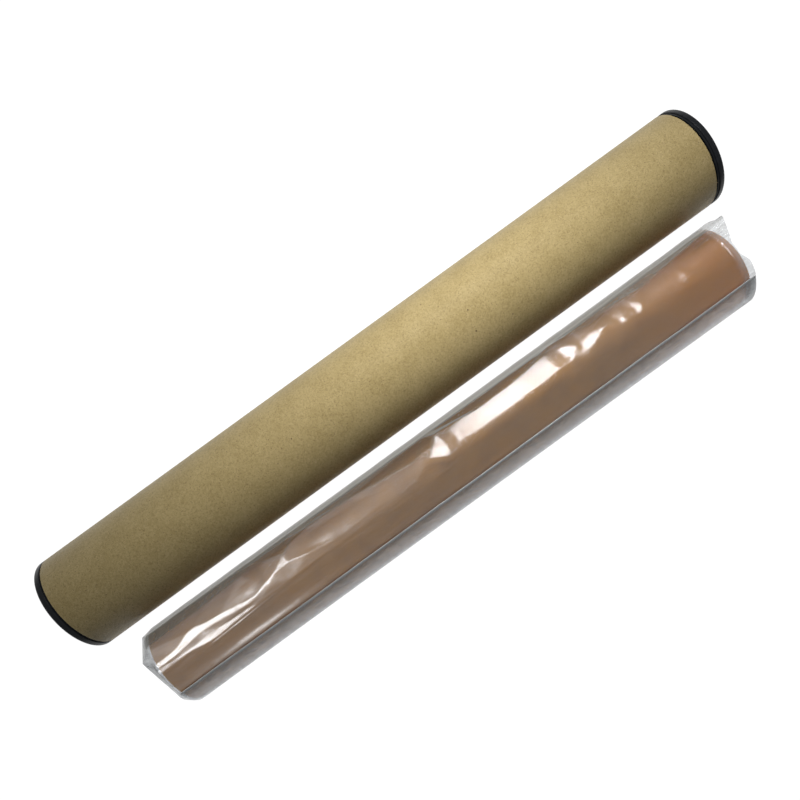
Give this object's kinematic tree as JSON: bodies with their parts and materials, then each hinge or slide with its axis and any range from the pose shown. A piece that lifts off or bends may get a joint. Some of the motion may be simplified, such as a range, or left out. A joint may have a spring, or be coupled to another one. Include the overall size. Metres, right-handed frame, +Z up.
{
  "type": "copper foil tape roll with storage tube",
  "caption": "Wide adhesive copper foil wound on a paper core, in a clear film sleeve, lying beside its kraft storage tube with black push-in end caps.",
  "frame": {"origin": "centre of the whole set's bounding box at its bottom, on the table between the tube and the roll", "axes": "+X along the tube's and the roll's axes, towards the sleeve's open mouth; +Y from the roll towards the tube; +Z up"},
  "size_m": [0.3384, 0.0912, 0.0455],
  "materials": {
    "kraft_paper": "smooth fibrous kraft, matte",
    "black_plastic": "satin moulded plastic",
    "core_board": "plain paperboard",
    "copper": "satin bare copper foil",
    "adhesive": "clear tacky coat",
    "liner_paper": "smooth release paper",
    "clear_film": "thin glossy clear film"
  },
  "bodies": {
    "tube": {"tube_outer_ply": "kraft_paper", "tube_middle_ply": "kraft_paper", "tube_inner_ply": "kraft_paper"},
    "cap_left": {"cap_left": "black_plastic"},
    "cap_right": {"cap_right": "black_plastic"},
    "sleeve": {"film_sleeve": "clear_film", "film_fold": "clear_film"},
    "roll": {"core_inner_ply": "core_board", "core_outer_ply": "core_board", "copper_foil": "copper", "adhesive_coat": "adhesive", "release_liner": "liner_paper"}
  },
  "joints": [
    {"name": "cap_left_pull", "type": "slide", "parent": "tube", "child": "cap_left", "axis": [-1, 0, 0], "range_m": [0, 0.05]},
    {"name": "cap_right_pull", "type": "slide", "parent": "tube", "child": "cap_right", "axis": [1, 0, 0], "range_m": [0, 0.05]},
    {"name": "wrapped_roll_push_away", "type": "slide", "parent": "tube", "child": "sleeve", "axis": [0, -1, 0], "range_m": [0, 0.1]},
    {"name": "roll_slide_out", "type": "slide", "parent": "sleeve", "child": "roll", "axis": [1, 0, 0], "range_m": [0, 0.32]}
  ]
}
